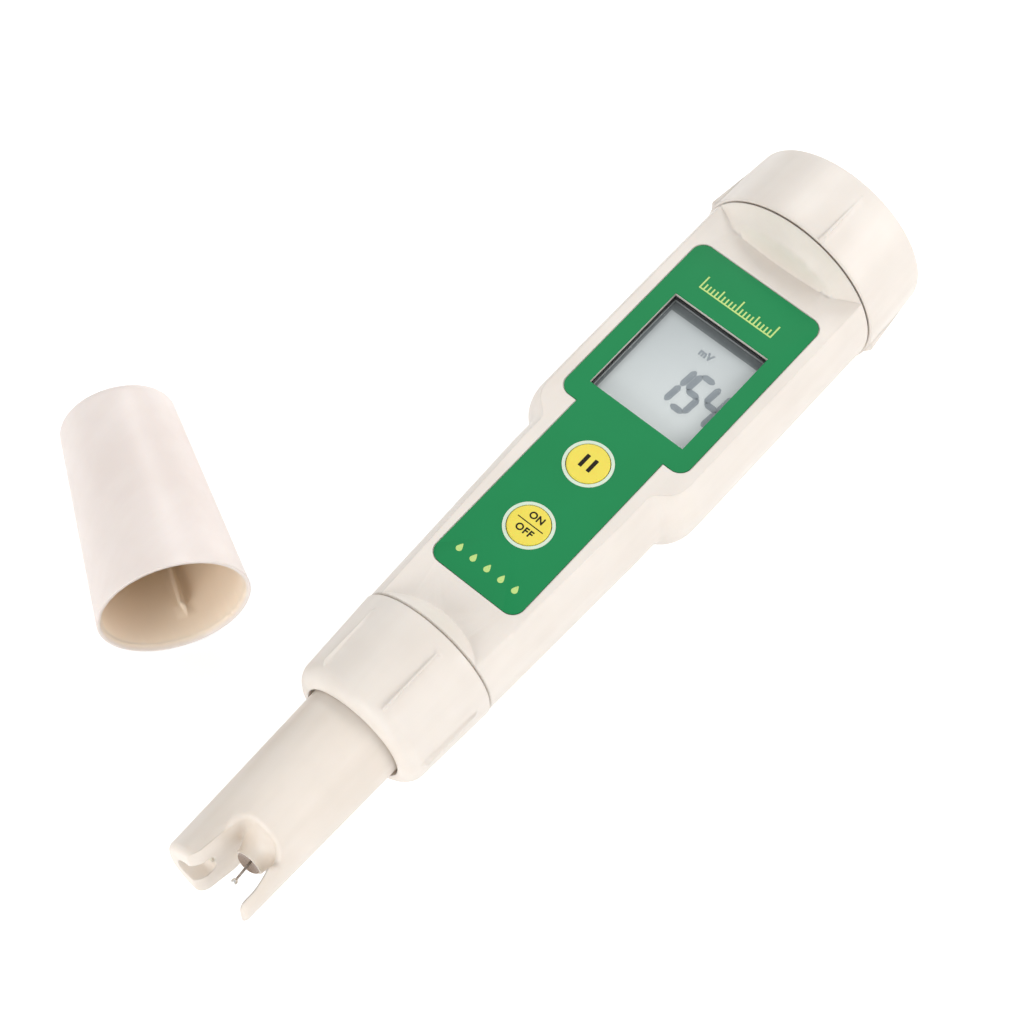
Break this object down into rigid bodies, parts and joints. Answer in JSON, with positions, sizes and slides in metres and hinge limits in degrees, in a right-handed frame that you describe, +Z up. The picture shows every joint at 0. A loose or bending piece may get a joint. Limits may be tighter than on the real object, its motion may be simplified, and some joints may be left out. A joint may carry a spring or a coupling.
{
  "type": "digital water tester",
  "caption": "Pocket water tester with a display and two round keys, a screwed-on battery cap, a replaceable electrode held by a collar, and a loose protective cap beside it.",
  "frame": {"origin": "under the middle of the whole layout (tester and loose cap), on the surface they lie on", "axes": "+Y along the tester from the electrode's tip to the battery cap, +Z up out of the display's face, +X to the right of somebody who reads the display"},
  "size_m": [0.107, 0.1801, 0.0406],
  "materials": {
    "ivory_plastic": "warm ivory moulded plastic, satin",
    "green_label": "printed polyester label, satin",
    "clear_window": "clear plastic window",
    "soft_rubber": "black soft rubber",
    "pale_ring": "pale printed ring",
    "yellow_key": "yellow key, satin",
    "lcd_glass": "reflective display glass",
    "white_plastic": "plain white moulded plastic",
    "strip_rubber": "striped contact rubber",
    "board_laminate": "green circuit board laminate",
    "black_plastic": "black moulded plastic",
    "blue_plastic": "blue trimmer case with a brass screw",
    "board_part_ceramic": "small board components",
    "nickel_steel": "nickel-plated steel",
    "cell_steel": "button cell can",
    "slip_washer": "white low-friction washer",
    "dark_resin": "dark brown cast resin",
    "platinum": "bright platinum",
    "porous_junction": "porous off-white junction",
    "thin_glass": "thin glass tube",
    "silver_wire": "silver wire",
    "gold_brass": "gold-plated brass"
  },
  "bodies": {
    "tester": {"housing": "ivory_plastic", "label_overlay": "green_label", "display_window": "clear_window", "key_seals": "soft_rubber", "lcd_frame": "white_plastic", "lcd_panel": "lcd_glass", "display_strips": "strip_rubber", "circuit_board": "board_laminate", "main_chip": "black_plastic", "amplifier_chip": "black_plastic", "calibration_trimmer": "blue_plastic", "board_parts": "board_part_ceramic", "inner_frame": "white_plastic", "battery_contacts": "nickel_steel", "electrode_socket": "black_plastic", "socket_leads": "gold_brass", "power_ring": "pale_ring", "hold_ring": "pale_ring", "power_switch": "black_plastic", "hold_switch": "black_plastic"},
    "power_button": {"power_button": "yellow_key"},
    "hold_button": {"hold_button": "yellow_key"},
    "battery_holder": {"battery_holder": "black_plastic", "cell_link": "nickel_steel", "holder_lid": "black_plastic", "lid_screw": "nickel_steel", "button_cell_1": "cell_steel", "button_cell_2": "cell_steel", "button_cell_3": "cell_steel", "button_cell_4": "cell_steel"},
    "battery_cap_seal": {"battery_cap_seal": "soft_rubber"},
    "battery_cap": {"battery_cap": "ivory_plastic"},
    "electrode": {"electrode_body": "ivory_plastic", "sensor_stem": "dark_resin", "sensor_pin": "platinum", "reference_junction": "porous_junction", "reference_tube": "thin_glass", "reference_wire": "silver_wire", "electrode_plug": "black_plastic", "plug_pins": "gold_brass", "electrode_ring": "soft_rubber", "flange_seal": "soft_rubber"},
    "collar_washer": {"collar_washer": "slip_washer"},
    "collar": {"collar_nut": "ivory_plastic"},
    "protective_cap": {"protective_cap": "ivory_plastic"}
  },
  "joints": [
    {"name": "power_button_press", "type": "slide", "parent": "tester", "child": "power_button", "axis": [0, 0, -1], "range_m": [0, 0.0003], "stiffness_N_per_m": 3000},
    {"name": "hold_button_press", "type": "slide", "parent": "tester", "child": "hold_button", "axis": [0, 0, -1], "range_m": [0, 0.0003], "stiffness_N_per_m": 3000},
    {"name": "battery_holder_pull", "type": "slide", "parent": "tester", "child": "battery_holder", "axis": [0, 1, 0], "range_m": [0, 0.03]},
    {"name": "battery_cap_advance", "type": "slide", "parent": "battery_holder", "child": "battery_cap_seal", "axis": [0, 1, 0], "range_m": [0, 0.00675]},
    {"name": "battery_cap_turn", "type": "hinge", "parent": "battery_cap_seal", "child": "battery_cap", "pos_m": [0.03327, 0.08145, 0.0203], "axis": [0, 1, 0], "range_deg": [0, 1080]},
    {"name": "electrode_unplug", "type": "slide", "parent": "tester", "child": "electrode", "axis": [0, -1, 0], "range_m": [0, 0.025]},
    {"name": "collar_advance", "type": "slide", "parent": "electrode", "child": "collar_washer", "axis": [0, -1, 0], "range_m": [0, 0.01]},
    {"name": "collar_turn", "type": "hinge", "parent": "collar_washer", "child": "collar", "pos_m": [0.03327, -0.04155, 0.0203], "axis": [0, -1, 0], "range_deg": [0, 1440]},
    {"name": "protective_cap_lift", "type": "slide", "parent": "tester", "child": "protective_cap", "axis": [0, 0, 1], "range_m": [0, 0.06]}
  ],
  "couplings": [
    {"joint": "battery_cap_advance", "follows": "battery_cap_turn", "m_per_rad": 0.000358},
    {"joint": "collar_advance", "follows": "collar_turn", "m_per_rad": 0.000397}
  ]
}
